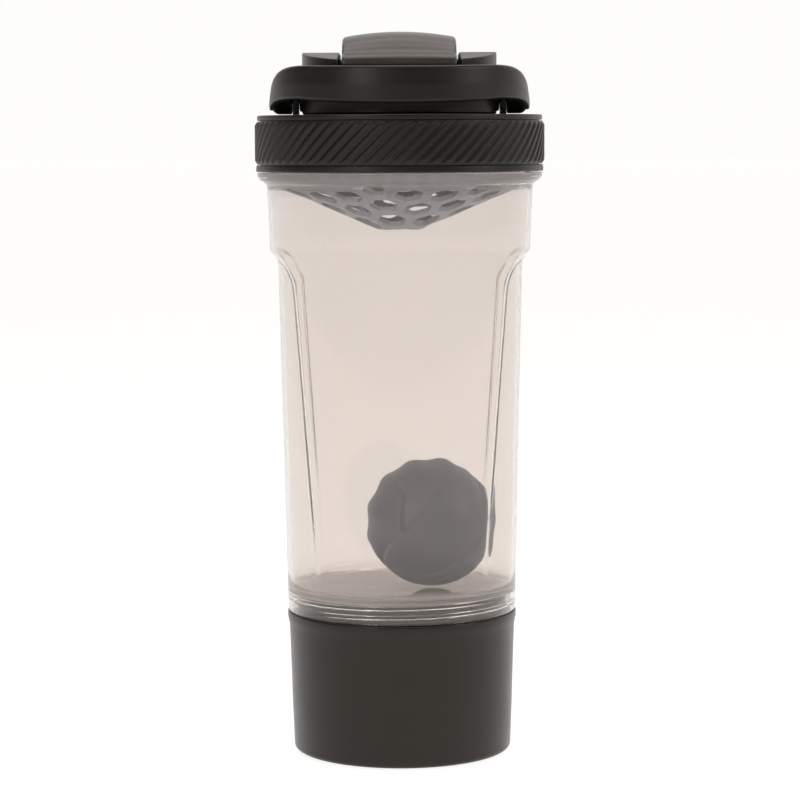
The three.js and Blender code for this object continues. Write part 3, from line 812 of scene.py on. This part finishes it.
def handle_edges(azimuth, radius):
    """The bail's lower and upper edge at an azimuth from the front, in degrees."""
    out = abs(azimuth)
    swell = min(out / 50, 1) ** 2
    drop = min(max((out - 58) / 32, 0), 1) ** 2
    low = BAIL_LOW + 1.5 * swell - 3.4 * drop
    top = min(BAIL_HIGH + 0.5 * swell, shoulder_height(radius * math.sin(math.radians(out))))
    return low, max(top, low + 2.6)


def carry_handle():
    outer, inner = BAIL_OUTER, BAIL_INNER
    middle = (outer + inner) / 2
    azimuths = [*np.linspace(-89.2, -56, 45), *np.linspace(-54, 54, 55), *np.linspace(56, 89.2, 45)]
    rings = []
    for azimuth in azimuths[::-1]:
        low = handle_edges(azimuth, outer)[0]
        tops = [handle_edges(azimuth, r)[1] for r in (outer, middle, inner)]
        section = rounded(
            [
                (inner, low, 0.9), (outer - 0.1, low, 0.9), (outer, (low + tops[0]) / 2),
                (outer - 0.35, tops[0], 1.2), (middle, tops[1] + 0.15), (inner, tops[2], 0.9),
            ],
            15, closed=True,
        )
        a = math.radians(azimuth)
        rings.append(resampled([(r * math.sin(a), -r * math.cos(a), z) for r, z in section], 56))
    bail = loft("bail", rings, caps=True)
    eyes, bores = [], []
    barrel = [(0, EYE_INNER), (EYE_R, EYE_INNER, 0.4), (EYE_R, EYE_OUTER, 2.6), (0, EYE_OUTER)]
    seat, seat_r = 41.1, 4.2
    drill = [(0, 30), (PIVOT_BORE, 30), (PIVOT_BORE, seat), (seat_r, seat), (seat_r, 46), (0, 46)]
    for turn in (X_AXIS_BACK, X_AXIS):
        eyes.append(moved(turned("eye", rounded(barrel, 12), 90), z=PIVOT_Z, turn=turn))
        bores.append(moved(turned("bore", drill, 62), z=PIVOT_Z, turn=turn))
    boolean(bail, "UNION", eyes)
    boolean(bail, "DIFFERENCE", bores)
    piece(bail, LID_BLACK, "handle", "carry_handle")


def resampled(ring, count):
    """A closed ring with its points spread evenly."""
    ring = np.array(ring)
    ends = np.vstack([ring, ring[:1]])
    length = np.concatenate([[0], np.cumsum(np.linalg.norm(np.diff(ends, axis=0), axis=1))])
    at = np.linspace(0, length[-1], count, endpoint=False)
    return np.stack([np.interp(at, length, ends[:, i]) for i in range(3)], -1)


# Mixing ball -----------------------------------------------------------------------------------
LEAVES = 6
BALL_POLE = np.array([0.67, 0.085, 0.737])
SEAM_TURN = (0.906, -0.724)  # the split between the shells, turned about X and then about Y
# A forked slit in one leaf: ends of its strokes as (polar angle, azimuth, strength).
SLIT = (
    ((89, -40, 1.0), (113, -20, 0.7)),
    ((89, -40, 1.0), (87.5, -54, 0.5)),
    ((87.5, -54, 0.5), (86, -84, 0.1)),
    ((89, -40, 1.0), (82, -39, 0.6)),
    ((82, -39, 0.6), (70, -44, 0.1)),
)


def leaf_angles(points):
    """Polar angle from the leaves' pole and azimuth from the front, in degrees."""
    pole = BALL_POLE / np.linalg.norm(BALL_POLE)
    front = np.array([0, -1, 0]) + pole * pole[1]
    front /= np.linalg.norm(front)
    side = np.cross(pole, front)
    polar = np.degrees(np.arccos(np.clip(points @ pole, -1, 1)))
    return polar, np.degrees(np.arctan2(points @ side, points @ front))


def slit_depth(polar, azimuth):
    flat = np.stack([polar, azimuth * np.sin(np.radians(polar))], -1)
    deepest = np.zeros_like(polar)
    for (p0, a0, s0), (p1, a1, s1) in SLIT:
        start = np.array([p0, a0 * math.sin(math.radians(p0))])
        along = np.array([p1, a1 * math.sin(math.radians(p1))]) - start
        t = np.clip((flat - start) @ along / (along @ along), 0, 1)
        away = np.linalg.norm(flat - start - t[..., None] * along, axis=-1)
        deepest = np.maximum(deepest, (s0 + (s1 - s0) * t) * smoothstep(1.5 - away / 1.7))
    return deepest


def leaf_radius(points):
    """The ball's surface: six leaves from pole to pole, each lapping over the one above it."""
    polar, azimuth = leaf_angles(points)
    sine = np.sin(np.radians(polar))
    bow = 14 * np.cos(np.radians(polar)) ** 2
    phase = ((azimuth + 20 + bow) / (360 / LEAVES)) % 1.0
    waist = sine**0.6
    lap = smoothstep(phase / 0.13) * (1 - 0.9 * phase)
    first, period = np.where(azimuth > 0, 43.7, 31.6), np.where(azimuth > 0, 31.3, 28.5)
    last = np.where(azimuth > 0, smoothstep((96 - polar) / 18), smoothstep((158 - polar) / 14))
    scallop = np.cos(math.tau * (polar - first) / period) * np.sin(np.radians(azimuth)) ** 4 * last
    swell = np.sin(math.pi * phase)
    relief = waist * (0.046 * lap + 0.016 * swell) + 0.021 * scallop * smoothstep(sine / 0.4)
    return BALL_R * np.minimum(0.952 + relief, 1.0) - 1.3 * slit_depth(polar, azimuth)


def ball_half(name, side, node):
    rows, sides = 72, 320
    seam = math.asin(0.12 / BALL_R)
    theta = np.linspace(math.pi / 2 - seam, 0.015, rows)
    theta = theta if side > 0 else math.pi - theta
    around = np.arange(sides) / sides * TAU
    tt, pp = np.meshgrid(theta, around, indexing="ij")
    local = np.stack([np.sin(tt) * np.cos(pp), np.sin(tt) * np.sin(pp), np.cos(tt)], -1)
    (cx, sx), (cy, sy) = [(math.cos(t), math.sin(t)) for t in SEAM_TURN]
    about_x = np.array([[1, 0, 0], [0, cx, -sx], [0, sx, cx]])
    turn = np.array([[cy, 0, sy], [0, 1, 0], [-sy, 0, cy]]) @ about_x
    unit = local @ turn.T
    radius = leaf_radius(unit)[..., None]
    outer, lining = unit * radius, unit * (radius - 1.6)
    rings = np.concatenate([lining[::-1], outer])
    if side < 0:
        rings = rings[::-1]
    shell = loft(name, rings, caps=True, sharp=60)
    moved(shell, BALL_X, BALL_Y, BALL_Z)
    piece(shell, BALL_GREY, "ball", node)


# Everything ------------------------------------------------------------------------------------
storage_cup()
soft_ring("cup_gasket", 31.2, 32.8, 52.7, 53.9, "cup_seal_rise", "cup_seal")
bottle_body()
strainer()
soft_ring("neck_gasket", 38.5, 43.0, 209.6, 210.5, "neck_seal_rise", "neck_seal")
lid_collar()
grip_band()
spout_turret()
spout_tube()
pins()
spout_cap()
cap_plug()
carry_handle()
ball_half("ball_upper", 1, "agitator_upper")
ball_half("ball_lower", -1, "agitator_lower")


# Stage -----------------------------------------------------------------------------------------
BACK_TONE = (0.991, 0.983, 0.972)
FRONT_TONE = (0.09, 0.087, 0.084)


def studio():
    reach = 30000
    corners = [(-reach, -reach), (reach, -reach), (reach, reach), (-reach, reach)]
    floor = mesh_object("studio_floor", [(x, y, -0.3) for x, y in corners], [(0, 1, 2, 3)])
    material, nodes, links, shader = new_material("studio_white")
    shader.inputs["Roughness"].default_value = 0.9
    shader.inputs["Specular IOR Level"].default_value = 0.1
    shader.inputs["Emission Color"].default_value = (*BACK_TONE, 1)
    shader.inputs["Emission Strength"].default_value = 0.9
    mottle = noise(nodes, links, nodes.new("ShaderNodeTexCoord").outputs["Object"], 3.0)
    tone = blended(nodes, links, mottle, (0.24, 0.238, 0.235), (0.26, 0.258, 0.255))
    links.new(tone, shader.inputs["Base Color"])
    floor.data.materials.append(material)
    world = bpy.data.worlds.new("studio_world")
    bpy.context.scene.world = world
    world.use_nodes = True
    nodes, links = world.node_tree.nodes, world.node_tree.links
    background = nodes["Background"]
    split = nodes.new("ShaderNodeSeparateXYZ")
    links.new(nodes.new("ShaderNodeTexCoord").outputs["Generated"], split.inputs[0])
    # white behind the bottle, darker in front of it
    lean = nodes.new("ShaderNodeMath")
    lean.operation = "MULTIPLY_ADD"
    links.new(split.outputs["X"], lean.inputs[0])
    lean.inputs[1].default_value = 0.22
    links.new(split.outputs["Y"], lean.inputs[2])
    depth = ranged(nodes, links, lean.outputs[0], 0.0, 1.0, 0.1, 0.85)
    links.new(blended(nodes, links, depth, FRONT_TONE, BACK_TONE), background.inputs["Color"])
    lamps = (
        ("top_box", (0.0, 0.0, 1.2), (0, 0, 0.12), 1.1, 9.0),
        ("left_box", (-1.0, -0.2, 0.7), (0, 0, 0.14), 0.5, 0.3),
        ("right_box", (0.95, -0.35, 0.6), (0, 0, 0.14), 0.5, 2.5),
        ("key_box", (-0.55, -0.84, 0.52), (0, 0, 0.2), 0.3, 1.7),
    )
    for name, place, target, size, watts in lamps:
        lamp = bpy.data.lights.new(name, "AREA")
        lamp.size = size
        lamp.energy = watts
        holder = bpy.data.objects.new(name, lamp)
        bpy.context.scene.collection.objects.link(holder)
        holder.location = place
        direction = Vector(target) - Vector(place)
        holder.rotation_euler = direction.to_track_quat("-Z", "Y").to_euler()


LENS, CAMERA_PLACE = 124.2, (-0.0003, -0.921, 0.205)
CAMERA_PITCH, CAMERA_ROLL = 5.42, -0.28


def camera():
    """In front of the bottle, a little below the lid's height, looking slightly down."""
    data = bpy.data.cameras.new("camera")
    data.lens = LENS
    data.sensor_width = 36.0
    holder = bpy.data.objects.new("camera", data)
    bpy.context.scene.collection.objects.link(holder)
    holder.location = CAMERA_PLACE
    pitch, roll = math.radians(CAMERA_PITCH), math.radians(CAMERA_ROLL)
    holder.rotation_mode = "XYZ"
    look = Vector((0, math.cos(pitch), -math.sin(pitch)))
    facing = look.to_track_quat("-Z", "Y").to_matrix()
    holder.rotation_euler = (facing @ Matrix.Rotation(roll, 3, "Z")).to_euler()
    bpy.context.scene.camera = holder


studio()
camera()
bpy.context.scene.view_settings.view_transform = "Standard"
